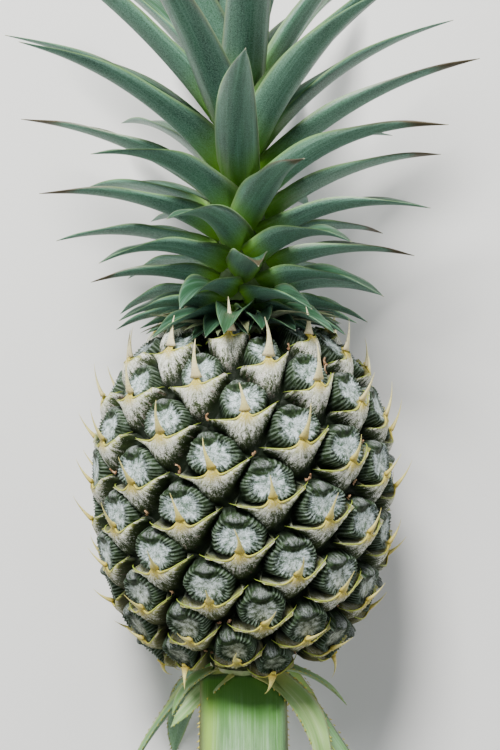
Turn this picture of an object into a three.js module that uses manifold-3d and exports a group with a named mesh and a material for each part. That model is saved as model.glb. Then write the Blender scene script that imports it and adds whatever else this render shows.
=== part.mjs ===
// A pineapple with its crown, cut from the plant on a short stalk and laid on its side.
//
// Millimetres, +Z up, with the origin on the floor under the middle of the whole.
// Everything is drawn along the fruit's own axis first: +Y from the stalk to the crown, with the
// fruit's face to +Z. A turn about the axis is counted from +Z towards -X, and a height along it
// from the fruit's foot. The last group tips the crown end up, as the crown's leaves prop it.

import * as THREE from "three";
import { mergeVertices } from "three/addons/utils/BufferGeometryUtils.js";
import Module from "manifold-3d";

const wasm = await Module();
wasm.setup();

const rad = THREE.MathUtils.degToRad;
const { clamp, lerp } = THREE.MathUtils;
const range = (count, from = 0) => Array.from({ length: count }, (_, i) => from + i);

// How the whole lies: tipped up at the crown end, with the lowest eyes pressed flat.
const LIE_TILT = 10;
const PRESSED = 1;

// The fruit. Its skin is the surface that the eyes' rims lie in.
const FRUIT_RADIUS = 57.5;
const FRUIT_TOP = 133.5;
const FRUIT_OUTLINE = [             // height along the axis, radius of the skin
  [0, 26], [8, 37], [22, 47.5], [42, 55], [68, FRUIT_RADIUS],
  [90, 56.5], [108, 51], [121, 43], [129, 34.5], [FRUIT_TOP, 24],
];
const FOOT_HEIGHT = -2;             // the middle of the fruit's foot, where the stalk meets it

// The eyes sit on one spiral: each a fixed way up the skin and a fixed turn on from the last.
const EYE_TURN = 137.59;
const EYE_RISE = 1.42;
const EYE_FIRST_TURN = 25.7;
const EYE_FIRST_ARC = -10.6;
const EYE_LEAN_SIDE = 4.1;          // how far the rings of eyes lean to the side, in degrees
const EYE_LEAN_FRONT = 9.5;         // and how far they dip on the fruit's face
const EYE_END_ROOM = 3;             // skin that is kept free of eyes' middles at either end
const EYE_STEPS = [8, 13, 21];      // an eye's neighbours along the spiral
const VALLEY_DEPTH = 4.5;           // of the grooves between the eyes
const EYE_RIM = [                   // an eye from outside: to the right, towards the crown
  [12.9, 3.9], [8.4, 7.2], [2, 11.4], [-5.2, 11.6], [-9, 6],
  [-12.8, -2.6], [-6.6, -6.6], [-0.4, -12.7], [7, -5.4],
];
const RIM_OWNERS = ["dome", "dome", "dome", "dome", "dome", "left", "low", "low", "right"];
const RIM_CORNERS = [0, 1, 1, 2, 3, 3, 4, 4, 5];
const EYE_DOME = [-0.5, 6, 3];      // right, up and out: the top of the dome over the bract
const SPIKE_HALF = 1.6;             // the spike stands on a small triangle in the eye's middle
const SPIKE_FOOT_OUT = 1.8;
const SPIKE_LENGTH = 10;
const SPIKE_SLOPE = 35;             // from the skin's normal towards the crown

// The cut stalk under the fruit, and the crown's own stem above it.
const GAP = 0.3;                    // between pieces that touch on the real plant
const ROUND_SIDES = 16;
const STALK_RADIUS = 13.5;
const STALK_LENGTH = 44;
const STEM_FOOT_RADIUS = 14;
const STEM_TOP_RADIUS = 6;

// The crown's leaves follow a spiral of their own, from the collar up to the heart.
const CROWN_TURN = 137.5;
const CROWN_FIRST_TURN = 8;
const CROWN_LEAN = 1;               // the crown leans a little towards -X
const COLLAR_LEAVES = 8;
const FREE_LEAVES = 40;
const HEART_LEAVES = 8;
const LEAF_FOOT_HEIGHT = 4.6;
const LEAF_SPACING = 0.9;           // from one leaf to the next at the collar
const SPACING_GROWTH = 0.015;
const HEART_SPACING = 1.3;
const LEAF_THICKNESS = 1.7;
const LEAF_ROWS = 7;
const LEAF_SUNK = 2.5;              // how far a crown leaf's foot starts inside the stem
const LEAF_FOLD = [50, 22];         // each half of a leaf folds up by these, at its foot and tip
const NEAR_LEAVES = 13;             // how many later leaves a leaf is cut clear of
const STEM_BREAKS = [               // where the collar's stem starts and ends, and the heart's starts
  GAP, leafHeight(COLLAR_LEAVES - 0.5), leafHeight(COLLAR_LEAVES + FREE_LEAVES - 0.5),
];
const STEM_TOP = leafHeight(COLLAR_LEAVES + FREE_LEAVES + HEART_LEAVES);

// Leaves and bracts that hang from the stalk, by turn, with angles in degrees from the axis.
const HANGING = {
  height: -4, footRadius: STALK_RADIUS - 2, taper: 3, fold: [20, 15], swing: 0, swingBend: 0,
};
const STALK_LEAVES = {
  stalk_leaf_front: { turn: 0, lean: 124, bend: 62, length: 104, width: 35, fold: [-9, -9], taper: 7 },
  stalk_leaf_curled: { turn: -32, lean: 118, bend: 58, length: 62, width: 13, swing: 34, swingBend: -66 },
  stalk_leaf_right: { turn: -58, lean: 128, bend: 30, length: 76, width: 14, swing: 6 },
  stalk_bract_right: { turn: -88, lean: 96, bend: 50, length: 36, width: 8 },
  stalk_bract_left: { turn: 30, lean: 122, bend: 20, length: 32, width: 10, swing: -26 },
  stalk_bract_curled: { turn: 62, lean: 98, bend: 70, length: 28, width: 8 },
  stalk_leaf_left: { turn: 84, lean: 130, bend: 26, length: 58, width: 14 },
  stalk_leaf_back_left: { turn: 142, lean: 122, bend: 48, length: 66, width: 22 },
  stalk_leaf_back_right: { turn: -138, lean: 124, bend: 44, length: 60, width: 20 },
};

// Closed mesh geometry from points and triangles.
function closedMesh(points, triangles) {
  const geometry = new THREE.BufferGeometry();
  geometry.setAttribute("position", new THREE.Float32BufferAttribute(points.flatMap((p) => p.toArray()), 3));
  geometry.setIndex(triangles.flat());
  return geometry;
}

function solidOf(geometry) {
  const bare = geometry.clone();
  bare.deleteAttribute("normal");
  bare.deleteAttribute("uv");
  const merged = mergeVertices(bare, 1e-4);
  return new wasm.Manifold(new wasm.Mesh({
    numProp: 3,
    vertProperties: new Float32Array(merged.attributes.position.array),
    triVerts: new Uint32Array(merged.index.array),
  }));
}

function geometryOf(solid) {
  const mesh = solid.getMesh();
  const geometry = new THREE.BufferGeometry();
  geometry.setAttribute("position", new THREE.Float32BufferAttribute(mesh.vertProperties, 3));
  geometry.setIndex(Array.from(mesh.triVerts));
  return geometry;
}

// The largest body of a solid: scraps that a cut leaves are dropped.
function largestOf(solid) {
  return solid.decompose().reduce((best, body) => (body.volume() > best.volume() ? body : best));
}

const outline = FRUIT_OUTLINE.map(([height, radius]) => new THREE.Vector2(height, radius));
const skinCurve = new THREE.SplineCurve(outline);
const skinLength = skinCurve.getLength();

// A point by its turn, its way up the skin and how far it stands out of the skin.
function onSkin(turn, arc, out) {
  const share = clamp(arc / skinLength, 0, 1);
  const point = skinCurve.getPointAt(share);
  const run = skinCurve.getTangentAt(share);
  const radius = point.y + run.x * out;
  const height = point.x - run.y * out;
  return new THREE.Vector3(-radius * Math.sin(turn), height, radius * Math.cos(turn));
}

// The direction that is up from the floor, in the fruit's own frame.
const upward = new THREE.Vector3(0, Math.sin(rad(LIE_TILT)), Math.cos(rad(LIE_TILT)));
const underside = range(200).map((i) => onSkin(Math.PI, (skinLength * i) / 200, EYE_DOME[2]).dot(upward));
const lift = -Math.min(...underside) - PRESSED;

function heightOverFloor(point) {
  return point.dot(upward) + lift;
}

// Moves a point that would lie under the floor straight up onto it.
function pressed(point) {
  return point.clone().addScaledVector(upward, Math.max(0, -heightOverFloor(point)));
}

// An eye's turn and its way up the skin, by its number on the spiral.
function eyePlace(number) {
  const turn = rad(EYE_FIRST_TURN + EYE_TURN * number);
  const level = EYE_FIRST_ARC + EYE_RISE * number;
  const radius = skinCurve.getPointAt(clamp(level / skinLength, 0, 1)).y;
  const side = Math.tan(rad(EYE_LEAN_SIDE)) * Math.sin(turn);
  const front = Math.tan(rad(EYE_LEAN_FRONT)) * Math.cos(turn);
  return { turn, arc: level - radius * (side + front) };
}

// The place of one eye as another sees it on the unrolled skin: to the right, towards the crown.
function unrolled(number, seenFrom) {
  const [here, there] = [eyePlace(seenFrom), eyePlace(number)];
  const turn = Math.atan2(Math.sin(there.turn - here.turn), Math.cos(there.turn - here.turn));
  return new THREE.Vector2(-turn * FRUIT_RADIUS, there.arc - here.arc);
}

// The point of the unrolled skin that lies as far from an eye as from two of its neighbours.
function meetingPoint(number, first, second) {
  const [a, b] = [unrolled(first, number), unrolled(second, number)];
  const spread = 2 * (a.x * b.y - a.y * b.x);
  const right = (b.y * a.lengthSq() - a.y * b.lengthSq()) / spread;
  const up = (a.x * b.lengthSq() - b.x * a.lengthSq()) / spread;
  const { turn, arc } = eyePlace(number);
  return pressed(onSkin(turn - right / FRUIT_RADIUS, arc + up, -VALLEY_DEPTH));
}

// The groove's corners round an eye, each shared with two neighbours and named once for all three.
function corners(number) {
  const [near, mid, far] = EYE_STEPS;
  const leftOf = (base) => [`left ${base}`, () => meetingPoint(base, base + near, base + far)];
  const rightOf = (base) => [`right ${base}`, () => meetingPoint(base, base + mid, base + far)];
  return [leftOf(number - near), rightOf(number), leftOf(number), rightOf(number - mid),
    leftOf(number - far), rightOf(number - far)];
}

// Draws an eye's spike in to the length that stays over the floor.
function spikeTip(foot, tip) {
  const shares = range(20).map((i) => 1 - i / 20);
  const share = shares.find((s) => heightOverFloor(foot.clone().lerp(tip, s)) > 0) ?? 0;
  return foot.clone().lerp(tip, share);
}

// The fruit's whole surface: every eye with its half of the grooves, and a cone over either end.
function fruitGeometry() {
  const points = [];
  const triangles = [];
  const named = new Map();
  const add = (point) => points.push(point) - 1;
  const addNamed = ([name, make]) => {
    if (!named.has(name)) {
      named.set(name, add(make()));
    }
    return named.get(name);
  };
  const inReach = (number) => {
    const { arc } = eyePlace(number);
    return arc > EYE_END_ROOM && arc < skinLength - EYE_END_ROOM;
  };
  const numbers = range(Math.ceil((skinLength + 40) / EYE_RISE)).filter(inReach);

  numbers.forEach((number) => {
    const { turn, arc } = eyePlace(number);
    const at = (right, up, out) => pressed(onSkin(turn - right / FRUIT_RADIUS, arc + up, out));
    const groove = corners(number).map(addNamed);
    const rim = EYE_RIM.map(([right, up]) => add(at(right, up, 0)));
    const top = {
      dome: add(at(...EYE_DOME)),
      left: add(at(-SPIKE_HALF, 0, SPIKE_FOOT_OUT)),
      low: add(at(0, -SPIKE_HALF, SPIKE_FOOT_OUT)),
      right: add(at(SPIKE_HALF, 0, SPIKE_FOOT_OUT)),
    };
    const foot = at(0, -SPIKE_HALF / 3, SPIKE_FOOT_OUT);
    const reach = new THREE.Vector2(0, SPIKE_LENGTH).rotateAround(new THREE.Vector2(), -rad(SPIKE_SLOPE));
    const tip = add(spikeTip(foot, onSkin(turn, arc + reach.x, SPIKE_FOOT_OUT + reach.y)));

    triangles.push([top.dome, top.left, top.right]);
    triangles.push([top.left, top.low, tip], [top.low, top.right, tip], [top.right, top.left, tip]);
    rim.forEach((here, i) => {
      const next = (i + 1) % rim.length;
      const before = RIM_OWNERS[(i + rim.length - 1) % rim.length];
      triangles.push([top[RIM_OWNERS[i]], here, rim[next]]);
      if (before !== RIM_OWNERS[i]) {
        triangles.push([top[before], here, top[RIM_OWNERS[i]]]);
      }
      const [corner, nextCorner] = [groove[RIM_CORNERS[i]], groove[RIM_CORNERS[next]]];
      triangles.push([corner, rim[next], here]);
      if (corner !== nextCorner) {
        triangles.push([corner, nextCorner, rim[next]]);
      }
    });
  });

  const paired = new Set(triangles.flatMap(([a, b, c]) => [`${a} ${b}`, `${b} ${c}`, `${c} ${a}`]));
  const edges = [...paired].map((edge) => edge.split(" ").map(Number));
  const open = edges.filter(([a, b]) => !paired.has(`${b} ${a}`));
  const footPoint = add(new THREE.Vector3(0, FOOT_HEIGHT, 0));
  const topPoint = add(new THREE.Vector3(0, FRUIT_TOP, 0));
  open.forEach(([a, b]) => triangles.push([b, a, points[a].y < FRUIT_TOP / 2 ? footPoint : topPoint]));
  return closedMesh(points, triangles);
}

// A round tapering bar along the fruit's axis, closed at both ends.
function roundBar(from, to, radiusAt, spare = 0) {
  const profile = [
    new THREE.Vector2(0, from - spare),
    new THREE.Vector2(radiusAt(from) + spare, from - spare),
    new THREE.Vector2(radiusAt(to) + spare, to + spare),
    new THREE.Vector2(0, to + spare),
  ];
  return solidOf(new THREE.LatheGeometry(profile, ROUND_SIDES));
}

function stemRadius(height) {
  return lerp(STEM_FOOT_RADIUS, STEM_TOP_RADIUS, (height - FRUIT_TOP) / STEM_TOP);
}

// The rows of a blade: its rib bends away from the axis, and each row is a channel across the rib.
// A row lists the left edge, the rib's upper side, the right edge and the rib's under side.
function bladeRows(leaf, spare) {
  const outward = new THREE.Vector3(-Math.sin(leaf.turn), 0, Math.cos(leaf.turn));
  const sideways = new THREE.Vector3(Math.cos(leaf.turn), 0, Math.sin(leaf.turn));
  const rib = outward.clone().multiplyScalar(leaf.footRadius).setY(leaf.height);
  const rows = [];
  for (let i = 0; i <= LEAF_ROWS; i += 1) {
    const share = i / LEAF_ROWS;
    const angle = rad(leaf.lean + leaf.bend * share);
    const swing = rad(leaf.swing + leaf.swingBend * share);
    const along = outward.clone().multiplyScalar(Math.sin(angle)).setY(Math.cos(angle));
    const across = sideways.clone().multiplyScalar(Math.cos(swing)).addScaledVector(along, -Math.sin(swing));
    along.multiplyScalar(Math.cos(swing)).addScaledVector(sideways, Math.sin(swing));
    const upper = outward.clone().multiplyScalar(-Math.cos(angle)).setY(Math.sin(angle));
    const fold = rad(lerp(...leaf.fold, share));
    const flat = (leaf.width / 2) * (1 - share ** leaf.taper) + spare;
    const half = flat * Math.cos(fold);
    const rise = flat * Math.sin(fold);
    const thick = (LEAF_THICKNESS / 2) * (1 - 0.4 * share) + spare;
    rows.push([
      rib.clone().addScaledVector(across, -half).addScaledVector(upper, rise),
      rib.clone().addScaledVector(upper, thick),
      rib.clone().addScaledVector(across, half).addScaledVector(upper, rise),
      rib.clone().addScaledVector(upper, -thick),
    ]);
    rib.addScaledVector(along, leaf.length / LEAF_ROWS);
  }
  return rows;
}

// A closed blade: four-sided rows, a flat foot and a pointed tip.
function bladeSolid(leaf, spare = 0) {
  const rows = bladeRows(leaf, spare);
  const tipRow = rows.pop();
  const points = [...rows.flat(), tipRow[1].clone().lerp(tipRow[3], 0.5)];
  const triangles = [[0, 1, 2], [0, 2, 3]];
  rows.forEach((row, i) => row.forEach((_, side) => {
    const [a, b] = [4 * i + side, 4 * i + ((side + 1) % 4)];
    if (i < rows.length - 1) {
      triangles.push([a, a + 4, b], [b, a + 4, b + 4]);
    } else {
      triangles.push([a, points.length - 1, b]);
    }
  }));
  return solidOf(closedMesh(points, triangles));
}

// A leaf that would reach under the floor is turned in towards the axis until it only touches it.
function restOnFloor(leaf, place) {
  const lowest = () => Math.min(...bladeRows(leaf, 0).flat().map((point) => heightOverFloor(place(point))));
  for (let turned = 0; turned < 90 && lowest() < 0; turned += 1) {
    if (leaf.lean > 90) {
      leaf.lean += 1;
      leaf.bend = Math.min(leaf.bend, 180 - leaf.lean);
    } else if (leaf.bend > 0) {
      leaf.bend -= 1;
    } else {
      leaf.lean -= 1;
    }
  }
  return leaf;
}

// Leans a point of the crown about the middle of the fruit's top.
function leanCrown(point) {
  const top = new THREE.Vector3(0, FRUIT_TOP, 0);
  return point.clone().sub(top).applyAxisAngle(new THREE.Vector3(0, 0, 1), rad(CROWN_LEAN)).add(top);
}

function leafHeight(number) {
  const inHeart = Math.max(0, number - COLLAR_LEAVES - FREE_LEAVES);
  const outside = number - inHeart;
  return LEAF_FOOT_HEIGHT + outside * (LEAF_SPACING + SPACING_GROWTH * outside) + HEART_SPACING * inHeart;
}

// A crown leaf by its number: longer, wider and more upright from the collar up, and in the heart
// shorter, narrower and almost straight.
function crownLeaf(number) {
  const height = leafHeight(number);
  const heart = Math.max(0, number - COLLAR_LEAVES - FREE_LEAVES) / HEART_LEAVES;
  const leaf = {
    turn: rad(CROWN_FIRST_TURN + CROWN_TURN * number),
    height: FRUIT_TOP + height,
    footRadius: stemRadius(FRUIT_TOP + height) - LEAF_SUNK,
    length: (36 + 1.16 * height + 3 * Math.sin(2.1 * number)) * (1 - 0.3 * heart),
    width: (18 + 0.07 * height) * (1 - 0.3 * heart),
    lean: (76 - 0.53 * height) * (1 - 0.85 * heart),
    bend: (53 - 0.24 * height + 7 * Math.sin(3.3 * number)) * (1 - 0.75 * heart),
    fold: LEAF_FOLD,
    taper: 1.8,
    swing: 0,
    swingBend: 0,
  };
  return restOnFloor(leaf, leanCrown);
}

const crownLeaves = range(COLLAR_LEAVES + FREE_LEAVES + HEART_LEAVES).map(crownLeaf);
const wideStem = roundBar(FRUIT_TOP, FRUIT_TOP + STEM_TOP, stemRadius, GAP);

function cutBy(solid, others) {
  return others.reduce((left, other) => left.subtract(other), solid);
}

// A length of the crown's stem with its own leaves fused on, cut clear of what lies beside it.
function fusedPart(from, to, first, count) {
  const bar = roundBar(FRUIT_TOP + from, FRUIT_TOP + to, stemRadius);
  const after = first + count;
  const own = wasm.Manifold.union(crownLeaves.slice(first, after).map((leaf) => bladeSolid(leaf)));
  const later = crownLeaves.slice(after, after + NEAR_LEAVES).map((leaf) => bladeSolid(leaf, GAP));
  const below = roundBar(FRUIT_TOP - STEM_TOP, FRUIT_TOP + from - GAP, stemRadius, GAP);
  const above = roundBar(FRUIT_TOP + to + GAP, FRUIT_TOP + to + STEM_TOP, stemRadius, GAP);
  return largestOf(bar.add(cutBy(own, [below, above, ...later])));
}

// A crown leaf cut clear of the stem and of the leaves that come after it.
function freeLeaf(number) {
  const later = crownLeaves.slice(number + 1, number + 1 + NEAR_LEAVES);
  const others = [...later.map((leaf) => bladeSolid(leaf, GAP)), wideStem];
  return largestOf(cutBy(bladeSolid(crownLeaves[number]), others));
}

function hangingLeaf(shape) {
  const leaf = { ...HANGING, ...shape, turn: rad(shape.turn) };
  return restOnFloor(leaf, (point) => point);
}

const pineapple = new THREE.Group();
const crown = new THREE.Group();

function addPiece(parent, name, geometry, color, roughness) {
  const material = new THREE.MeshStandardMaterial({ color, roughness, metalness: 0 });
  const mesh = new THREE.Mesh(geometry, material);
  mesh.name = name;
  parent.add(mesh);
}

addPiece(pineapple, "fruit", fruitGeometry(), 0x59644f, 0.6);
const stalk = roundBar(FOOT_HEIGHT - STALK_LENGTH, FOOT_HEIGHT - GAP, () => STALK_RADIUS);
const wideStalk = roundBar(FOOT_HEIGHT - STALK_LENGTH, FOOT_HEIGHT, () => STALK_RADIUS, GAP);
addPiece(pineapple, "stalk", geometryOf(stalk), 0x8da471, 0.6);
const hanging = Object.entries(STALK_LEAVES).map(([name, shape]) => [name, hangingLeaf(shape)]);
hanging.forEach(([name, leaf], i) => {
  const before = hanging.slice(0, i).map(([, other]) => bladeSolid(other, GAP));
  const blade = largestOf(cutBy(bladeSolid(leaf), [wideStalk, ...before]));
  addPiece(pineapple, name, geometryOf(blade), 0x6f9c66, 0.5);
});
const [stemFrom, collarTo, heartFrom] = STEM_BREAKS;
addPiece(crown, "crown_collar", geometryOf(fusedPart(stemFrom, collarTo, 0, COLLAR_LEAVES)), 0x4c6b52, 0.6);
const stem = roundBar(FRUIT_TOP + collarTo + GAP, FRUIT_TOP + heartFrom - GAP, stemRadius);
addPiece(crown, "crown_stem", geometryOf(stem), 0x6d8f45, 0.6);
range(FREE_LEAVES, COLLAR_LEAVES).forEach((number) => {
  const name = `crown_leaf_${String(number + 1 - COLLAR_LEAVES).padStart(2, "0")}`;
  addPiece(crown, name, geometryOf(freeLeaf(number)), 0x4f7562, 0.55);
});
const heart = fusedPart(heartFrom, STEM_TOP, COLLAR_LEAVES + FREE_LEAVES, HEART_LEAVES);
addPiece(crown, "crown_heart", geometryOf(heart), 0x5d8468, 0.55);

crown.position.set(0, FRUIT_TOP, 0).applyAxisAngle(new THREE.Vector3(0, 0, 1), rad(CROWN_LEAN)).negate();
crown.position.y += FRUIT_TOP;
crown.rotation.z = rad(CROWN_LEAN);
pineapple.add(crown);
pineapple.rotation.x = rad(LIE_TILT);
pineapple.position.z = lift;
pineapple.updateMatrixWorld(true);
const middle = new THREE.Box3().setFromObject(pineapple, true).getCenter(new THREE.Vector3());
pineapple.position.x -= middle.x;
pineapple.position.y -= middle.y;

export default pineapple;
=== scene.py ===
"""A pineapple with its crown, cut on a short stalk and lying on its side on a pale floor.

The rules that place the eyes and the leaves are the CAD part's own, carried to a fine surface.
Sizes are in millimetres in the fruit's own frame, with +Y from the stalk to the crown and +Z out of
its face, and placed() turns them into the frame's metres. Angles are in degrees where they are
constants. A share runs from 0 at one end of a thing to 1 at the other.
"""

import math

import bpy
import numpy as np
from mathutils import Matrix, Vector


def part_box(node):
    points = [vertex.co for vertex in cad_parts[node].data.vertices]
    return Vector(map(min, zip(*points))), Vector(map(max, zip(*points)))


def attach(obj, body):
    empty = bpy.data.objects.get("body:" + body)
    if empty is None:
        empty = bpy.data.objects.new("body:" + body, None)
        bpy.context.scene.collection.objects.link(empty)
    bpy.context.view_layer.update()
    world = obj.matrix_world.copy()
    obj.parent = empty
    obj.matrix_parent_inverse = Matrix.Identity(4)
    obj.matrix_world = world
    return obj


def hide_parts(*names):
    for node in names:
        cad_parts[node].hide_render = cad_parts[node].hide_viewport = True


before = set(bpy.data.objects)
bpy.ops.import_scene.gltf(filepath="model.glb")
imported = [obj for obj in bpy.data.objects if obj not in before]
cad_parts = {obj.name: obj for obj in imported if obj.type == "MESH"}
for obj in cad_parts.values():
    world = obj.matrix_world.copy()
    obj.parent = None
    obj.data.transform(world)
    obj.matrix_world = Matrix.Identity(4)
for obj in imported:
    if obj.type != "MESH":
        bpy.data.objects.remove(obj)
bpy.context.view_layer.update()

MM = 0.001
SEED = 7

# How the whole lies, and the fruit's skin as pairs of height and radius.
LIE_TILT = 10
FRUIT_RADIUS = 57.5
FRUIT_TOP = 133.5
FRUIT_OUTLINE = [
    (0, 26), (8, 37), (22, 47.5), (42, 55), (68, FRUIT_RADIUS),
    (90, 56.5), (108, 51), (121, 43), (129, 34.5), (FRUIT_TOP, 24),
]
FOOT_HEIGHT = -2
SKIN_STEPS = 4001

# The spiral of eyes, whose rings lie lower on the fruit's face and on its left.
EYE_TURN = 137.59
EYE_RISE = 1.42
EYE_FIRST_TURN = 25.7
EYE_FIRST_ARC = -10.6
EYE_LEAN_SIDE = 4.1
EYE_LEAN_FRONT = 9.5
EYE_END_ROOM = 3
EYE_STEPS = (8, 13, 21)  # from an eye's number to its neighbours'
SPARE_RISE = 40
VALLEY_DEPTH = 4.5
DOME_OUT = 3

# The stalk, and the crown's stem and its spiral of leaves.
GAP = 0.3
STALK_RADIUS = 13.5
STALK_LENGTH = 44
STEM_FOOT_RADIUS = 14
STEM_TOP_RADIUS = 6
CROWN_TURN = 137.5
CROWN_FIRST_TURN = 8
CROWN_LEAN = 1
COLLAR_LEAVES = 8
FREE_LEAVES = 40
HEART_LEAVES = 8
LOW_LEAVES = 26  # short leaves packed in under the collar
LOW_SPACING = 0.16
NECK_LEAFLETS = 34  # small olive leaves round the fruit's neck
LEAF_FOOT_HEIGHT = 4.6
LEAF_SPACING = 0.9
SPACING_GROWTH = 0.015
HEART_SPACING = 1.3
LEAF_THICKNESS = 1.7
LEAF_ROWS = 7
LEAF_SUNK = 2.5
LEAF_FOLD = (50, 22)  # how far the blade's halves fold up, at its foot and at its tip
BROADER = 1.15  # the crown's fine blades against the CAD part's

# The stalk's leaves: what all have, and each one's turn, lean, bend, length, width and own values.
HANGING = {"height": -4, "foot_radius": STALK_RADIUS - 2, "taper": 3, "fold": (20, 15),
           "swing": 0, "swing_bend": 0}
STALK_LEAVES = {
    "stalk_leaf_front": (0, 124, 62, 104, 35, {"fold": (-9, -9), "taper": 7}),
    "stalk_leaf_curled": (-32, 118, 58, 62, 13, {"swing": 34, "swing_bend": -66}),
    "stalk_leaf_right": (-58, 128, 30, 76, 14, {"swing": 6}),
    "stalk_bract_right": (-88, 96, 50, 36, 8, {}),
    "stalk_bract_left": (30, 122, 20, 32, 10, {"swing": -26}),
    "stalk_bract_curled": (62, 98, 70, 28, 8, {}),
    "stalk_leaf_left": (84, 130, 26, 58, 14, {}),
    "stalk_leaf_back_left": (142, 122, 48, 66, 22, {}),
    "stalk_leaf_back_right": (-138, 124, 44, 60, 20, {}),
}
TOOTH_SPACING = 2.6
TOOTH_SIZE = 0.9
TEETH_FROM, TEETH_TO = 0.12, 0.965

# The fineness of the modelled surfaces, and how many eyes or leaves are joined in one piece.
EYE_SPOKES = 120
BRACT_SPOKES = 48  # those of an eye's spokes that cross its bract
EYE_INNER_RINGS = 13
EYE_OUTER_RINGS = 9
EDGE_STEPS = 60
EDGE_ROWS, EDGE_SIDES = 40, 6
SPIKE_ROWS, SPIKE_SIDES = 12, 8
SCRAP_ROWS, SCRAP_SIDES = 7, 5
END_SIDES, END_RINGS = 48, 7
LEAF_FINE_ROWS = 34
LEAF_ACROSS = 8
PIECE_EYES = 27
PIECE_LEAVES = 10


def cosine_and_sine(degrees):
    return math.cos(math.radians(degrees)), math.sin(math.radians(degrees))


UP = np.array([0, *cosine_and_sine(LIE_TILT)[::-1]])  # straight up, in the fruit's own frame


def rotated(a, b, degrees):
    cosine, sine = cosine_and_sine(degrees)
    return a * cosine - b * sine, a * sine + b * cosine


def turned(points):
    """Points of the fruit's own frame, tipped up at the crown end."""
    x, y, z = np.moveaxis(np.asarray(points, float), -1, 0)
    return np.stack([x, *rotated(y, z, LIE_TILT)], -1)


# The stalk's middle gives the shift from the fruit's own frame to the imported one.
stalk_low, stalk_high = (np.array(corner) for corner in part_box("stalk"))
stalk_middle = (0, FOOT_HEIGHT - (STALK_LENGTH + GAP) / 2, 0)
SHIFT = (stalk_low + stalk_high) / 2 / MM - turned(stalk_middle)


def placed(points):
    """Points of the fruit's own frame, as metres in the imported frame."""
    return (turned(points) + SHIFT) * MM


def height_over_floor(points):
    """How far points of the fruit's own frame lie over the floor."""
    return np.asarray(points) @ UP + SHIFT[2]


def pressed(points):
    """Points, with those under the floor moved straight up onto it."""
    return points + UP * np.maximum(0, -height_over_floor(points))[..., None]


def smooth(low, high, value):
    """A smooth step from 0 at low to 1 at high, where low may be the larger."""
    t = np.clip((value - low) / (high - low), 0, 1)
    return t * t * (3 - 2 * t)


def mixed(a, b, share):
    return a + (b - a) * share


def unit(vectors):
    """Each row's vector, brought to length 1."""
    return vectors / np.linalg.norm(vectors, axis=1)[:, None]


def spline(points, count):
    """A Catmull-Rom curve through the points, at evenly spaced parameters."""
    points = np.asarray(points, float)
    at = np.linspace(0, len(points) - 1, count)
    i = np.minimum(at.astype(int), len(points) - 2)
    t = (at - i)[:, None]
    a, b, c, d = (points[np.clip(i + k, 0, len(points) - 1)] for k in (-1, 0, 1, 2))
    return b + ((c - a) * t + (2 * a - 5 * b + 4 * c - d) * t ** 2 + (3 * b - 3 * c + d - a) * t ** 3) / 2


skin = spline(FRUIT_OUTLINE, SKIN_STEPS)
skin_arc = np.concatenate([[0], np.cumsum(np.linalg.norm(np.diff(skin, axis=0), axis=1))])
SKIN_LENGTH = skin_arc[-1]
skin_run = unit(np.gradient(skin, axis=0))


def on_skin(turn, arc, out):
    """Points by their turn, their way up the skin and how far they stand out of it."""
    arc = np.clip(arc, 0, SKIN_LENGTH)
    height, radius, run_height, run_radius = (np.interp(arc, skin_arc, column)
                                              for column in (*skin.T, *skin_run.T))
    radius = radius + run_height * out
    return np.stack([-radius * np.sin(turn), height - run_radius * out, radius * np.cos(turn)], -1)


def eye_place(number):
    """An eye's turn and its way up the skin, by its number on the spiral."""
    turn = math.radians(EYE_FIRST_TURN + EYE_TURN * number)
    level = EYE_FIRST_ARC + EYE_RISE * number
    radius = np.interp(np.clip(level, 0, SKIN_LENGTH), skin_arc, skin[:, 1])
    side = math.tan(math.radians(EYE_LEAN_SIDE)) * math.sin(turn)
    front = math.tan(math.radians(EYE_LEAN_FRONT)) * math.cos(turn)
    return turn, level - radius * (side + front)


def unrolled(number, seen_from):
    """Where one eye lies from another on the unrolled skin: how far right and how far up."""
    (turn, arc), (other_turn, other_arc) = eye_place(seen_from), eye_place(number)
    step = math.atan2(math.sin(other_turn - turn), math.cos(other_turn - turn))
    return np.array([-step * FRUIT_RADIUS, other_arc - arc])


def meeting_point(number, first, second):
    """Where an eye's cell meets two neighbours' cells, from that eye."""
    a, b = unrolled(first, number), unrolled(second, number)
    spread = 2 * (a[0] * b[1] - a[1] * b[0])
    return np.array([(b[1] * (a @ a) - a[1] * (b @ b)) / spread,
                     (a[0] * (b @ b) - b[0] * (a @ a)) / spread])


def cell_corners(number):
    """The six corners of an eye's cell, anticlockwise from the right, from the eye."""
    near, mid, far = EYE_STEPS
    pairs = [(near, near), (0, mid), (0, near), (mid, mid), (far, near), (far, mid)]
    bases = [(number - back, step) for back, step in pairs]
    return [unrolled(base, number) + meeting_point(base, base + step, base + far) + CELL_SHIFT
            for base, step in bases]


def eye_numbers():
    """The numbers of the eyes that stand on the skin, away from its ends."""
    count = math.ceil((SKIN_LENGTH + SPARE_RISE) / EYE_RISE)
    arcs = [(number, eye_place(number)[1]) for number in range(count)]
    return [number for number, arc in arcs if EYE_END_ROOM < arc < SKIN_LENGTH - EYE_END_ROOM]


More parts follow.
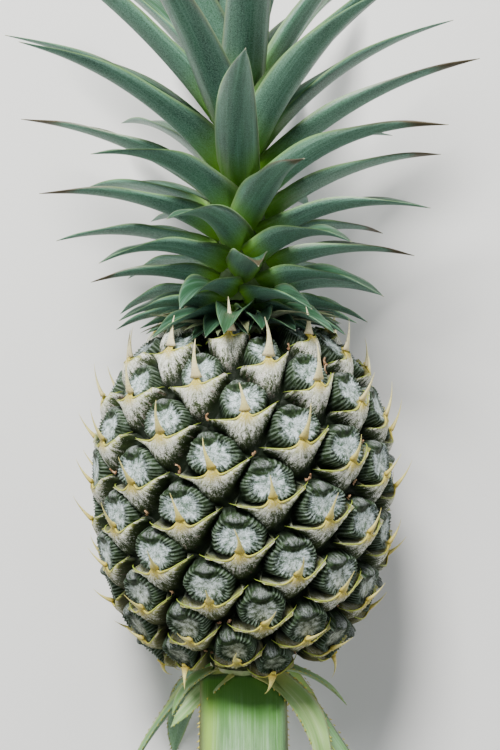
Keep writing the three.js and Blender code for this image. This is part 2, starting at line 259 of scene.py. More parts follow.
def reach_to_polygon(centre, angles, corners, missed=9.0):
    """How far a polygon's edge lies from a point inside it, along each angle."""
    rays = np.stack([np.cos(angles), np.sin(angles)], -1)
    reach = np.full(len(angles), np.inf)
    for a, b in zip(corners, corners[1:] + corners[:1]):
        edge, start = b - a, a - centre
        cross = rays[:, 0] * edge[1] - rays[:, 1] * edge[0]
        with np.errstate(divide="ignore", invalid="ignore"):
            along = (start[0] * edge[1] - start[1] * edge[0]) / cross
            on_edge = (start[0] * rays[:, 1] - start[1] * rays[:, 0]) / cross
        hit = (along > 0) & (on_edge >= -1e-6) & (on_edge <= 1 + 1e-6)
        reach = np.where(hit, np.minimum(reach, along), reach)
    return np.where(np.isfinite(reach), reach, missed)


def linked(name, data):
    """A new object in the scene."""
    thing = bpy.data.objects.new(name, data)
    bpy.context.scene.collection.objects.link(thing)
    return thing


class Mesh:
    """Vertices, faces and values at the vertices, collected for one joined piece.

    A face of three corners has -1 as its fourth. Places on a sheet, where all points come with
    them, make the piece's own map for baking.
    """

    def __init__(self, values):
        self.points, self.faces, self.places = [], [], []
        self.values = {name: [] for name in values}
        self.count = 0

    def add(self, points, faces, place=None, **values):
        points = np.asarray(points, float).reshape(-1, 3)
        faces = np.asarray(faces, int)
        self.faces.append(np.where(faces < 0, -1, faces + self.count))
        self.points.append(points)
        if place is not None:
            self.places.append(place)
        for name, kept in self.values.items():
            kept.append(np.broadcast_to(np.asarray(values.get(name, 0.0), float), len(points)))
        self.count += len(points)

    def piece(self, name, material, slot, replaces=()):
        points = placed(pressed(np.concatenate(self.points)))
        faces = [tuple(int(i) for i in face if i >= 0) for group in self.faces for face in group]
        mesh = bpy.data.meshes.new(name)
        mesh.from_pydata(points.tolist(), [], faces)
        for key, kept in self.values.items():
            layer = mesh.attributes.new(key, "FLOAT", "POINT")
            layer.data.foreach_set("value", np.concatenate(kept).astype(np.float32))
        if self.places:
            place = np.concatenate(self.places)
            corner = np.empty(len(mesh.loops), np.int32)
            mesh.loops.foreach_get("vertex_index", corner)
            sheet = mesh.uv_layers.new(name="OFBake")
            sheet.data.foreach_set("uv", place[corner].astype(np.float32).ravel())
        mesh.polygons.foreach_set("use_smooth", np.ones(len(mesh.polygons), bool))
        mesh.materials.append(material)
        mesh.update()
        shown = linked(name, mesh)
        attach(shown, "root")
        if replaces:
            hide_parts(*replaces)


def grid_faces(rows, columns):
    """The quads of a grid of vertices whose columns are joined round."""
    return [(i + j, i + (j + 1) % columns, i + columns + (j + 1) % columns, i + columns + j)
            for i in range(0, (rows - 1) * columns, columns) for j in range(columns)]


def flipped(faces):
    return [face[::-1] for face in faces]


def tile(index, count, u, v, margin=0.06):
    """A place in one square of a sheet that is shared by count surfaces."""
    side = math.ceil(math.sqrt(count))
    u, v = (margin + (1 - 2 * margin) * np.clip(value, 0, 1) for value in (u, v))
    return np.stack([(index % side + u) / side, (index // side + v) / side], -1)


# The eyes. Each is a wrinkled dome with a brow at its top, over a bract whose free edge crosses it.
# Places in a cell are right and up from the spike's root, and heights are from the skin.
CELL_SHIFT = np.array([-0.2, 1.7])  # the spikes stand a little below their cells' middles
HUB = np.array([-0.8, 6.6])  # the dome's middle
DOME_HALF = (10.9, 8.5)
DOME_SQUARENESS = 2.4  # 2 would make the dome's outline an ellipse
DOME_LUMPS = ((3, 0.05), (7, 0.03))  # waves round the outline, and their depths
DOME_FLANK = (0.74, 1.12)
DOME_RIM = (0.8, 0.14, 0.5)  # place, width and height
DOME_DIP = (0.45, 0.7)  # width and depth
FOLDS = 34
FOLD_SWAY = (5, 1.3)
FOLD_FROM, FOLD_TO = (0.45, 0.72), (0.98, 1.14)
FUZZ_FADE = (0.3, 0.9)
BROW_UP = 12.4
BROW_HALF = (4.3, 2.9)
BROW_FLOOR = -2
WING_LEFT, WING_RIGHT = (-15.6, -0.9), (14.4, 6.4)
WING_FADE = 0.16  # radians
EDGE_POINTS = [WING_LEFT, (-10.5, -1.6), (-5.8, -1.8), (-3.1, -1.0), (-1.4, 0.5), (0, 2.4), (1.2, 0.7),
               (2.8, -0.3), (5.8, 0.9), (9.4, 3.3), WING_RIGHT]
EDGE_WAVES = ((9, 1.0), (21, 0.6))
BRACT_OUTLINE = [WING_LEFT, (-11.2, -3.2), (-8.2, -5.2), (-6.2, -8.2), (-4.0, -11.0), (-1.2, -12.6),
                 (2.4, -11.4), (5.6, -8.4), (7.8, -5.0), (10.8, -0.6), WING_RIGHT, (8, 14), (-8, 14)]
BRACT_ROOT = np.array([0.0, 2.0])  # where the bract's streaks fan out from
BRACT_FOOT = 3.4  # how far under the skin the bract ends
KEEL_HEIGHT, KEEL_HALF = 0.8, 2.2
RIBS, RIB_HEIGHT = 19, 0.22
OVERLAP = 3  # how far an eye's surface runs on under its neighbours'
OVERLAP_DROP = 1.2
END_BAND = 30  # how far plain skin runs in under the end eyes
MAP_HALF = 20  # half the width of the square that maps a cell for baking

SPIKE_LENGTH = 13.5
SPIKE_SLOPE = 63
SPIKE_CLEARANCE = 0.4  # over the floor
CLAW_LEVELS = (0.12, 0.05)  # down the fruit between these, spikes turn into claws
BROAD_LEVELS = (0.5, 0.95)  # up the fruit between these, spikes grow broader
DRY_TIP_CHANCE = 0.4


def eye_variation(number, chance):
    """What varies from eye to eye, and up the fruit."""
    level = np.clip(eye_place(number)[1] / SKIN_LENGTH, 0, 1)
    return {
        "level": level,
        "phase": chance.uniform(0, 6.28, 4),
        "wrinkle": chance.uniform(0.32, 0.55),
        "brow": chance.uniform(1.1, 2.1) * (1 - 0.6 * level),
        "brow_side": chance.uniform(-4.2, -1.2),
        "dome": DOME_OUT + chance.uniform(-0.5, 0.3) - 0.6 * level,
        "bract": DOME_OUT + chance.uniform(0.3, 0.9) + 0.5 * level,
        "tone": chance.uniform(0, 1),
        "squash": chance.uniform(0.94, 1.05),
        "edge_wave": chance.uniform(0.15, 0.4),
    }


def edge_line(eye, count):
    """The bract's free edge, from its left wing to its right, waved a little."""
    line = spline(EDGE_POINTS, count)
    share = np.linspace(0, 1, count)
    wave = sum(size * np.sin(waves * share + phase)
               for (waves, size), phase in zip(EDGE_WAVES, eye["phase"]))
    line[:, 1] += eye["edge_wave"] * wave * np.sin(math.pi * share)
    return line


def dome_height(eye, right, up):
    """The dome's height, and the shares of fuzz, fold and brow, at places in the cell."""
    phase = eye["phase"]
    x, y = (right - HUB[0]) / DOME_HALF[0], (up - HUB[1]) / DOME_HALF[1] * eye["squash"]
    angle = np.arctan2(y, x)
    lumps = sum(depth * np.sin(waves * angle + phase[k]) for k, (waves, depth) in enumerate(DOME_LUMPS))
    out = (np.abs(x) ** DOME_SQUARENESS + np.abs(y) ** DOME_SQUARENESS) ** (1 / DOME_SQUARENESS)
    out = out / (1 + lumps)
    sway = FOLD_SWAY[1] * np.sin(FOLD_SWAY[0] * angle + phase[2])
    folds = np.sin(FOLDS * angle + sway + phase[3])
    brow_x, brow_y = (right - eye["brow_side"]) / BROW_HALF[0], (up - BROW_UP) / BROW_HALF[1]
    brow_out = np.sqrt(brow_x ** 2 + brow_y ** 2 + 0.4 * brow_x ** 2 * brow_y ** 2)
    lobe = np.sqrt(np.clip(1 - brow_out ** 2, 0, 1))
    folded = smooth(*FOLD_FROM, out) * (1 - smooth(*FOLD_TO, out)) * smooth(0.8, 1.2, brow_out)

    height = (eye["dome"] + VALLEY_DEPTH) * (1 - smooth(*DOME_FLANK, out)) - VALLEY_DEPTH
    height += eye["wrinkle"] * folds * folded
    rim_place, rim_width, rim_height = DOME_RIM
    height += rim_height * np.exp(-((out - rim_place) / rim_width) ** 2)
    dip_width, dip_depth = DOME_DIP
    height -= dip_depth * np.exp(-(out / dip_width) ** 2)
    brow_height = BROW_FLOOR + (eye["dome"] + eye["brow"] - BROW_FLOOR) * lobe
    height = np.where(lobe > 0, np.maximum(height, brow_height), height)
    fuzz = (1 - smooth(*FUZZ_FADE, out)) * smooth(0.9, 1.35, brow_out)
    fold = np.clip((0.5 + 0.5 * folds) * folded, 0, 1)
    # The brow's share covers only the lobe's upper half, where the painted highlight goes.
    return height, fuzz, fold, lobe * smooth(-0.45, 0.35, brow_y)


def dome_reach(eye, angles, outer, to_left, to_right):
    """How far the dome reaches along each angle, and the share of bract beyond it."""
    line = edge_line(eye, EDGE_STEPS) - HUB
    to_edge = np.interp(angles, np.unwrap(np.arctan2(line[:, 1], line[:, 0])), np.linalg.norm(line, axis=1))
    is_low = np.arange(EYE_SPOKES) < BRACT_SPOKES
    below = smooth(0, WING_FADE, np.minimum(angles - to_left, to_right - angles)) * is_low
    inner = np.where(is_low, np.minimum(to_edge, outer * 0.93), outer * 0.72)
    blurred = np.convolve(np.tile(inner, 3), np.ones(5) / 5, "same")[EYE_SPOKES:2 * EYE_SPOKES]
    return np.where(below > 0.5, inner, blurred), below


def eye_surface(number, eye):
    """One eye's cell as a disc of rings, with the dome inside the bract's edge."""
    to_left, to_right = (math.atan2(y - HUB[1], x - HUB[0]) for x, y in (WING_LEFT, WING_RIGHT))
    low = np.linspace(to_left, to_right, BRACT_SPOKES, endpoint=False)
    high = np.linspace(to_right, to_left + 2 * math.pi, EYE_SPOKES - BRACT_SPOKES, endpoint=False)
    angles = np.concatenate([low, high])
    outer = reach_to_polygon(HUB, angles, cell_corners(number))
    inner, below = dome_reach(eye, angles, outer, to_left, to_right)

    inside = inner * np.linspace(0, 1, EYE_INNER_RINGS + 1)[1:, None]
    step = inner + np.minimum(0.35, 0.2 * (outer - inner))
    end = outer + OVERLAP
    outside = step + (end - step) * np.linspace(0, 1, EYE_OUTER_RINGS)[:, None] ** 0.9
    reach = np.concatenate([inside, outside])
    right = HUB[0] + reach * np.cos(angles)
    up = HUB[1] + reach * np.sin(angles)

    height, fuzz, fold, brow = dome_height(eye, right, up)
    outline = reach_to_polygon(HUB, angles, [np.array(point) for point in BRACT_OUTLINE])
    outline = np.minimum(np.maximum(outline, inner + 0.4), outer + OVERLAP * 0.9)
    way = np.clip((reach - inner) / np.maximum(outline - inner, 1e-6), 0, 1)
    past = np.clip((reach - outline) / np.maximum(end - outline, 1e-6), 0, 1)
    keel = KEEL_HEIGHT * np.exp(-((right + 0.2) / KEEL_HALF) ** 2) * (1 - way)
    from_root = np.stack([right, up], -1) - BRACT_ROOT
    spoke = np.arctan2(from_root[..., 1], from_root[..., 0])
    ribs = RIB_HEIGHT * np.sin(spoke * RIBS + eye["phase"][1]) * np.sin(np.pi * way)
    bract = eye["bract"] + keel + ribs - (eye["bract"] + BRACT_FOOT) * way ** 2.2
    bract = bract - (VALLEY_DEPTH - BRACT_FOOT) * past
    on_bract = np.where(np.arange(len(reach))[:, None] >= EYE_INNER_RINGS, below, 0)
    height = mixed(height, bract, on_bract)
    height -= OVERLAP_DROP * np.clip((reach - outer) / OVERLAP, 0, 1)

    on_dome = 1 - on_bract
    rays_from = np.where(on_bract > 0.5, spoke, angles)
    far = np.where(on_bract > 0.5, np.linalg.norm(from_root, axis=-1), reach)
    return right, up, height, {
        "fuzz": fuzz * on_dome, "fold": fold * on_dome, "brow": brow * on_dome,
        "bract": on_bract, "way": way, "wing": smooth(4.5, 11.5, np.abs(right + 0.6)) * on_bract,
        # painted shade: the lower the surface lies in the grooves between the eyes, the darker it is
        # painted
        "deep": 1 - smooth(-3.2, 1.2, height),
        "ray_x": np.cos(rays_from), "ray_y": np.sin(rays_from), "far": far,
    }


def eye_points(number, right, up, out):
    """The points at places in a cell and heights over the skin."""
    turn, arc = eye_place(number)
    return pressed(on_skin(turn - right / FRUIT_RADIUS, arc + up, out))


def add_eye(mesh, index, count, number, eye):
    """One eye's surface, with its own square of the piece's sheet."""
    right, up, height, values = eye_surface(number, eye)
    rings = len(right)
    hub = rings * EYE_SPOKES
    hub_height = dome_height(eye, HUB[:1], HUB[1:])[0]
    points = np.concatenate([eye_points(number, right, up, height).reshape(-1, 3),
                             eye_points(number, HUB[:1], HUB[1:], hub_height)])
    faces = flipped(grid_faces(rings, EYE_SPOKES))
    faces += [(j, (j + 1) % EYE_SPOKES, hub, -1) for j in range(EYE_SPOKES)]
    u, v = (np.append(way.ravel() + MAP_HALF, middle + MAP_HALF) / (2 * MAP_HALF)
            for way, middle in zip((right, up), HUB))
    spread = {name: np.append(value.ravel(), float(name == "fuzz")) for name, value in values.items()}
    mesh.add(points, faces, tile(index, count, u, v), tone=eye["tone"], level=eye["level"], **spread)


def frame_along(path, normal):
    """The ways across a path and out of it, from a rough normal."""
    run = unit(np.gradient(path, axis=0))
    across = unit(np.cross(run, normal))
    return across, np.cross(across, run)


def capped(rows, sides):
    """A closed tube's faces: its sides, and a fan over either end."""
    end = (rows - 1) * sides
    first = [(0, j + 1, j, -1) for j in range(1, sides - 1)]
    last = [(end, end + j, end + j + 1, -1) for j in range(1, sides - 1)]
    return grid_faces(rows, sides) + first + last


def add_tube(mesh, path, across, normal, wide, thick, sides, **values):
    """A flattened tube, by its half width and half thickness at each point of its path."""
    angle = np.linspace(0, 2 * math.pi, sides, endpoint=False)
    ring = (np.cos(angle)[:, None] * (across * wide[:, None])[:, None]
            + np.sin(angle)[:, None] * (normal * thick[:, None])[:, None])
    along = np.repeat(values.pop("along", np.linspace(0, 1, len(path))), sides)
    mesh.add(path[:, None] + ring, capped(len(path), sides), along=along, **values)


def add_edge(mesh, number, eye):
    """The bract's thin yellow free edge, from wing to wing."""
    line = edge_line(eye, EDGE_ROWS)
    share = np.linspace(0, 1, EDGE_ROWS)
    lift = eye["bract"] + 0.25 - 4.2 * (2 * np.abs(share - 0.5)) ** 5
    path = eye_points(number, line[:, 0], line[:, 1], lift)
    above = eye_points(number, line[:, 0], line[:, 1], lift + 1)
    across, normal = frame_along(path, above - path + UP * 1e-3)
    at_spike = np.exp(-((share - 0.5) / 0.09) ** 2)
    to_tip = np.minimum(share, 1 - share)
    wide = (0.2 + 0.24 * np.sin(math.pi * share) + 0.3 * at_spike) * smooth(-0.02, 0.1, to_tip)
    thick = (0.28 + 0.25 * at_spike) * smooth(-0.1, 0.1, to_tip)
    add_tube(mesh, path, across, normal, wide, thick, EDGE_SIDES, along=np.abs(2 * share - 1),
             kind=0.0, tone=eye["tone"], level=eye["level"])


def spike_shape(number, eye, chance):
    """The spike's path from the bract's edge up over the dome, kept over the floor."""
    level = eye["level"]
    share = np.linspace(0, 1, SPIKE_ROWS)
    length = SPIKE_LENGTH * (0.72 + 0.5 * level) * chance.uniform(0.8, 1.12)
    side = math.radians(chance.uniform(-16, 20))
    slope = np.radians(SPIKE_SLOPE + chance.uniform(-9, 9) - 16 * level + 26 * (share - 0.3))
    claw_slope = np.radians(-35 - 75 * share)
    slope = mixed(slope, claw_slope, smooth(*CLAW_LEVELS, level))
    run = np.cumsum(np.sin(slope)) * length / SPIKE_ROWS
    rise = np.cumsum(np.cos(slope)) * length / SPIKE_ROWS
    right = run * math.sin(side) + 0.8 * np.sin(3 * share) * chance.uniform(-1, 1)
    up = 1.0 + run * math.cos(side)
    out = eye["bract"] - 0.4 + rise

    turn, arc = eye_place(number)
    foot = on_skin(turn, arc, 0)
    normal = on_skin(turn, arc, 1) - foot
    towards = on_skin(turn, arc + 1, 0) - foot
    towards /= np.linalg.norm(towards)
    rightward = np.cross(towards, normal)
    path = foot + right[:, None] * rightward + up[:, None] * towards + out[:, None] * normal
    for shrink in np.linspace(1, 0.1, 19):
        drawn = path[0] + (path - path[0]) * shrink
        if height_over_floor(drawn).min() > SPIKE_CLEARANCE:
            break
    return pressed(drawn), rightward, share, length * shrink


def add_spike(mesh, number, eye, chance):
    """A slender spike that flares at its root."""
    path, rightward, share, length = spike_shape(number, eye, chance)
    run = unit(np.gradient(path, axis=0))
    normal = unit(np.cross(np.broadcast_to(rightward, run.shape), run))
    across = np.cross(run, normal)
    wide = 1.1 * (1 - share) ** 4 + 0.85 * (1 - share) ** 0.85 + 0.05
    wide *= 1 + 0.4 * smooth(*BROAD_LEVELS, eye["level"])
    thick = 0.6 * (1 - share) ** 2 + 0.35 * (1 - share) + 0.04
    scale = min(1, length / 7)
    add_tube(mesh, path, across, normal, wide * scale, thick * scale, SPIKE_SIDES, kind=1.0,
             tone=eye["tone"], level=eye["level"])


def add_dry_tip(mesh, number, chance, wing):
    """A shrivelled, curled scrap at a wing's tip."""
    share = np.linspace(0, 1, SCRAP_ROWS)
    curl = chance.uniform(1.2, 3.4) * chance.choice([-1, 1])
    size = chance.uniform(1.4, 3.0)
    right = wing[0] * 0.96 + size * 0.5 * np.sin(curl * share)
    up = wing[1] + 0.3 + size * (1 - np.cos(curl * share)) * 0.5
    out = -1.4 + size * 0.9 * share
    path = eye_points(number, right, up, out)
    across, normal = frame_along(path, np.broadcast_to(UP + 0.3, path.shape))
    wide = (0.7 + 0.3 * chance.uniform(-1, 1, SCRAP_ROWS)) * (1 - 0.6 * share)
    thick = np.full(SCRAP_ROWS, 0.22)
    add_tube(mesh, path, across, normal, wide, thick, SCRAP_SIDES, tone=chance.uniform(0, 1))


def add_end(mesh, arcs, height, index, count):
    """A band of plain skin under the end eyes, and a shallow cone that closes it."""
    sides, rings = END_SIDES, len(arcs)
    turns = np.linspace(0, 2 * math.pi, sides, endpoint=False)
    band = [on_skin(turns, np.full(sides, arc), -VALLEY_DEPTH - 0.25) for arc in arcs]
    points = np.concatenate(band + [[(0, height, 0)]])
    apex = rings * sides
    is_top = int(height > FRUIT_TOP / 2)
    edge = is_top * (apex - sides)
    faces = flipped(grid_faces(rings, sides))
    faces += [(edge + (j + is_top) % sides, edge + (j + 1 - is_top) % sides, apex, -1)
              for j in range(sides)]
    from_apex = np.arange(1, rings + 1) / rings
    if is_top:
        from_apex = from_apex[::-1]
    u, v = (np.append(0.5 + 0.5 * np.outer(from_apex, wave(turns)).ravel(), 0.5)
            for wave in (np.cos, np.sin))
    # The end band and its cone are painted with part of the groove shade.
    mesh.add(points, faces, tile(index, count, u, v), deep=0.3)


# The blades of the crown and of the stalk. A leaf is a dictionary: the turn of its foot round the
# axis, its lean from the axis there, how much further it bends, its swing sideways and its sizes.
def leaf_height(number):
    """How far over the fruit's top a leaf starts. Those under the collar count down from -1."""
    if number < 0:
        return LEAF_FOOT_HEIGHT + LOW_SPACING * number
    in_heart = max(0, number - COLLAR_LEAVES - FREE_LEAVES)
    outside = number - in_heart
    spacing = LEAF_SPACING + SPACING_GROWTH * outside
    return LEAF_FOOT_HEIGHT + outside * spacing + HEART_SPACING * in_heart


def stem_radius(height):
    stem_top = leaf_height(COLLAR_LEAVES + FREE_LEAVES + HEART_LEAVES)
    return mixed(STEM_FOOT_RADIUS, STEM_TOP_RADIUS, (height - FRUIT_TOP) / stem_top)


def crown_leaf(number):
    """A leaf of the crown, by its number on the spiral."""
    height = leaf_height(number)
    heart = max(0, number - COLLAR_LEAVES - FREE_LEAVES) / HEART_LEAVES
    low = max(0, -number) / LOW_LEAVES
    length = 36 + 1.16 * height + 3 * math.sin(2.1 * number)
    bend = 53 - 0.24 * height + 7 * math.sin(3.3 * number)
    leaf = {
        "turn": math.radians(CROWN_FIRST_TURN + CROWN_TURN * number),
        "height": FRUIT_TOP + height,
        "foot_radius": stem_radius(FRUIT_TOP + height) - LEAF_SUNK,
        "length": length * (1 - 0.3 * heart) * (1 - 0.35 * low),
        "width": (18 + 0.07 * height) * (1 - 0.3 * heart) * (1 - 0.2 * low),
        "lean": (76 - 0.53 * height) * (1 - 0.85 * heart),
        "bend": bend * (1 - 0.75 * heart) - 12 * low,
        "fold": LEAF_FOLD, "taper": 1.8, "swing": 0, "swing_bend": 11 * math.sin(4.1 * number),
        "number": number, "broader": BROADER,
    }
    return rest_on_floor(leaf, lean_crown)


def neck_leaflet(number, chance):
    """A short, thin leaf that springs from the fruit's neck and curls out over its eyes."""
    leaf = {
        "turn": math.radians(CROWN_TURN * number),
        "height": FRUIT_TOP + chance.uniform(-1, 2.5),
        "foot_radius": chance.uniform(13, 17),
        "length": chance.uniform(20, 31),
        "width": chance.uniform(6, 9),
        "lean": chance.uniform(52, 72),
        "bend": chance.uniform(25, 70),
        "fold": (35, 15), "taper": 1.7, "swing": 0, "swing_bend": chance.uniform(-35, 35),
        "number": 200 + number, "thick": 0.4,
    }
    return rest_on_floor(leaf, lean_crown)


def lean_crown(points):
    """Points of the crown, leaned sideways about the fruit's top."""
    top = np.array([0, FRUIT_TOP, 0])
    x, y, z = np.moveaxis(points - top, -1, 0)
    return np.stack([*rotated(x, y, CROWN_LEAN), z], -1) + top


def as_it_is(points):
    return points


def blade_rows(leaf):
    """The CAD blade's rib, row by row, and the ways across the blade and out of its face."""
    cosine, sine = math.cos(leaf["turn"]), math.sin(leaf["turn"])
    outward, axis, sideways = np.array([(-sine, 0, cosine), (0, 1, 0), (cosine, 0, sine)])
    share = np.linspace(0, 1, LEAF_ROWS + 1)[:, None]
    lean = np.radians(leaf["lean"] + leaf["bend"] * share)
    swing = np.radians(leaf["swing"] + leaf["swing_bend"] * share)
    along = outward * np.sin(lean) + axis * np.cos(lean)
    upper = axis * np.sin(lean) - outward * np.cos(lean)
    across = sideways * np.cos(swing) - along * np.sin(swing)
    run = (along * np.cos(swing) + sideways * np.sin(swing)) * leaf["length"] / LEAF_ROWS
    foot = outward * leaf["foot_radius"] + axis * leaf["height"]
    return np.cumsum([foot, *run[:-1]], axis=0), across, upper


def blade_edges(leaf, share):
    """How far a blade's edges lie beside its rib, and how far over it."""
    fold = np.radians(mixed(*leaf["fold"], share))
    flat = leaf["width"] / 2 * (1 - share ** leaf["taper"])
    return flat * np.cos(fold), flat * np.sin(fold)


def rest_on_floor(leaf, place, most_steps=90):
    """A leaf, turned in towards the axis where it would reach under the floor."""
    share = np.linspace(0, 1, LEAF_ROWS + 1)

    def lowest():
        ribs, across, upper = blade_rows(leaf)
        half, rise = blade_edges(leaf, share)
        thick = LEAF_THICKNESS / 2 * (1 - 0.4 * share)
        edges = [ribs + s * across * half[:, None] + upper * rise[:, None] for s in (-1, 1)]
        faces = [ribs + s * upper * thick[:, None] for s in (-1, 1)]
        return height_over_floor(place(np.array(edges + faces))).min()

    for _ in range(most_steps):
        if lowest() >= 0:
            break
        if leaf["lean"] > 90:
            leaf["lean"] += 1
            leaf["bend"] = min(leaf["bend"], 180 - leaf["lean"])
        elif leaf["bend"] > 0:
            leaf["bend"] -= 1
        else:
            leaf["lean"] -= 1
    return leaf


def add_blade(mesh, leaf, place, chance):
    """A fine blade on the CAD blade's rib: a curved channel with thin edges and a long tip."""
    rows = LEAF_FINE_ROWS
    share = np.linspace(0, 1, rows) ** 0.92
    at = share * (rows - 1)
    ribs, across, upper = (np.stack([np.interp(at, np.arange(rows), column)
                                     for column in spline(part, rows).T], -1)
                           for part in blade_rows(leaf))
    across = unit(across)
    upper = unit(upper - across * (upper * across).sum(1)[:, None])
    twist = math.radians(chance.uniform(-9, 9)) * share ** 1.5
    cosine, sine = np.cos(twist)[:, None], np.sin(twist)[:, None]
    across, upper = across * cosine + upper * sine, upper * cosine - across * sine

    half, rise = blade_edges(leaf, share)
    to_tip = smooth(1.0, 0.86, share)
    half = np.maximum(half, 0.05) * mixed(0.55, 1, to_tip) * leaf.get("broader", 1)
    thick = leaf.get("thick", LEAF_THICKNESS / 2) * (1 - 0.55 * share) * mixed(0.4, 1, to_tip)
    side = np.linspace(-1, 1, LEAF_ACROSS + 1)
    ring = np.concatenate([side, side[-2:0:-1]])
    face = np.concatenate([np.ones(LEAF_ACROSS + 1), -np.ones(LEAF_ACROSS - 1)])
    bulge = np.sqrt(np.clip(1 - ring ** 2, 0, 1)) * face
    waves = share[:, None] * chance.uniform(9, 15) + chance.uniform(0, 6) + 2 * ring
    wave = 0.35 * np.sin(waves) * np.abs(ring) ** 3
    lift = np.abs(ring) ** 1.7 * rise[:, None] + wave * half[:, None] * 0.25
    points = (ribs[:, None] + across[:, None] * (half[:, None] * ring)[..., None]
              + upper[:, None] * (lift + bulge * thick[:, None])[..., None])

    sides = len(ring)
    along = np.repeat(share, sides)
    ringed = np.tile(ring, rows)
    under = np.tile((face < 0) * 1.0, rows)
    under[np.abs(ringed) > 0.999] = 0.5
    mesh.add(place(points), flipped(capped(rows, sides)), along=along, rim=np.abs(ringed),
             across=ringed * np.repeat(half, sides), side=ringed, run=along * leaf["length"], under=under,
             tone=chance.uniform(0, 1), number=leaf["number"] * 7.3, dry=leaf.get("dry", 0.0))


def add_teeth(mesh, leaf, place, chance):
    """Small hooked teeth along both edges of a blade."""
    count = int(leaf["length"] * (1 - TEETH_FROM) / TOOTH_SPACING)
    fine = 200
    ribs, across, upper = (spline(part, fine) for part in blade_rows(leaf))
    for side in (-1, 1):
        for k in range(count):
            share = TEETH_FROM + (1 - TEETH_FROM) * (k + chance.uniform(0.2, 0.8)) / count
            if share > TEETH_TO:
                continue
            i = int(share * (fine - 2))
            half, rise = blade_edges(leaf, share)
            run = ribs[i + 1] - ribs[i]
            run /= np.linalg.norm(run)
            outward = across[i] * side
            root = ribs[i] + outward * half + upper[i] * rise
            tip = root + outward * TOOTH_SIZE * chance.uniform(0.6, 1.2) + run * TOOTH_SIZE * 0.9
            inner = root - outward * 0.3
            base = run * TOOTH_SIZE * 0.5
            thick = upper[i] * 0.14
            points = np.array([inner - base + thick, inner + base + thick,
                               inner - base - thick, inner + base - thick, tip])
            faces = [(0, 1, 4, -1), (3, 2, 4, -1), (2, 0, 4, -1), (1, 3, 4, -1), (0, 2, 3, 1)]
            if side < 0:
                faces = flipped(faces)
            mesh.add(place(points), faces, along=share, tone=chance.uniform(0, 1))


# Materials. Masks that belong to a place on the plant come from the meshes' own values.
MIX_INPUTS, MIX_OUTPUT = (0, 6, 7), 2  # a Mix node's factor and two colours, and its colour


class Paint:
    """A new material, with short calls for its nodes."""

    def __init__(self, name, roughness, specular=0.5):
        self.material = bpy.data.materials.new(name)
        self.material.use_nodes = True
        self.tree = self.material.node_tree
        self.shader = self.tree.nodes["Principled BSDF"].inputs
        self.shader["Roughness"].default_value = roughness
        self.shader["Specular IOR Level"].default_value = specular

    def node(self, kind, *values, **settings):
        """A new node, its first inputs fed with values."""
        node = self.tree.nodes.new("ShaderNode" + kind)
        for name, setting in settings.items():
            setattr(node, name, setting)
        for socket, value in zip(node.inputs, values):
            self.feed(socket, value)
        return node

    def fed(self, kind, output, **values):
        """An output of a new node whose inputs are fed by name."""
        node = self.node(kind)
        for name, value in values.items():
            self.feed(node.inputs[name], value)
        return node.outputs[output]

    def feed(self, socket, value):
        """Gives a socket a number, a colour or another node's output."""
        if isinstance(value, bpy.types.NodeSocket):
            self.tree.links.new(value, socket)
        elif isinstance(value, tuple):
            socket.default_value = (*value, 1)
        else:
            socket.default_value = value

    def values(self, *names):
        """What a mesh carries at its vertices, by name."""
        return [self.node("Attribute", attribute_name=name).outputs["Fac"] for name in names]

    def place(self, key="Position"):
        return self.node("NewGeometry").outputs[key]

    def noise(self, scale, vector=None, detail=2, roughness=0.5):
        """Noise over the places in space, or over another vector."""
        vector = self.place() if vector is None else vector
        return self.fed("TexNoise", "Fac", Vector=vector, Scale=scale, Detail=detail,
                        Roughness=roughness)

    def ramp(self, value, low, high):
        node = self.node("MapRange", value, low, high, interpolation_type="SMOOTHSTEP")
        return node.outputs["Result"]

    def mix(self, factor, a, b):
        node = self.node("Mix", data_type="RGBA")
        for index, value in zip(MIX_INPUTS, (factor, a, b)):
            self.feed(node.inputs[index], value)
        return node.outputs[MIX_OUTPUT]

    def vector(self, x, y, z):
        return self.node("CombineXYZ", x, y, z).outputs[0]

    def product(self, result, *values, operation="MULTIPLY"):
        for value in values:
            result = self.node("Math", result, value, operation=operation).outputs[0]
        return result

    def total(self, *values):
        return self.product(*values, operation="ADD")

    def finish(self, colour, height=None, strength=0.0, distance=0.0):
        """Gives the shader its colour and its bump."""
        self.feed(self.shader["Base Color"], colour)
        if height is not None:
            bump = self.fed("Bump", "Normal", Height=height, Strength=strength, Distance=distance)
            self.feed(self.shader["Normal"], bump)
        return self.material


RIND = {
    # The groove colour is painted shade for the grooves between the eyes.
    "groove": (0.005, 0.009, 0.004),
    "dome_dark": (0.008, 0.017, 0.006), "dome_light": (0.030, 0.056, 0.020),
    # The crest colour is a painted highlight on the crests of the dome's folds.
    "crest_highlight": (0.21, 0.27, 0.21), "scurf_and_highlight": (0.27, 0.29, 0.29),
    # The scurf colour is grey scurf painted only on the brow's upper half, so it is also a painted
    # highlight.
    "fuzz_dark": (0.09, 0.16, 0.10), "fuzz_light": (0.68, 0.77, 0.82), "fuzz_foot": (0.30, 0.30, 0.19),
    "bract_dark": (0.018, 0.030, 0.010), "bract_light": (0.060, 0.088, 0.026),
    "scale_dark": (0.43, 0.45, 0.35), "scale_light": (0.86, 0.86, 0.79),
    "lime": (0.40, 0.42, 0.09), "border": (0.36, 0.34, 0.09), "red": (0.20, 0.07, 0.06),
    "glow": (0.51, 0.41, 0.06), "bract_foot": (0.27, 0.23, 0.10),
}


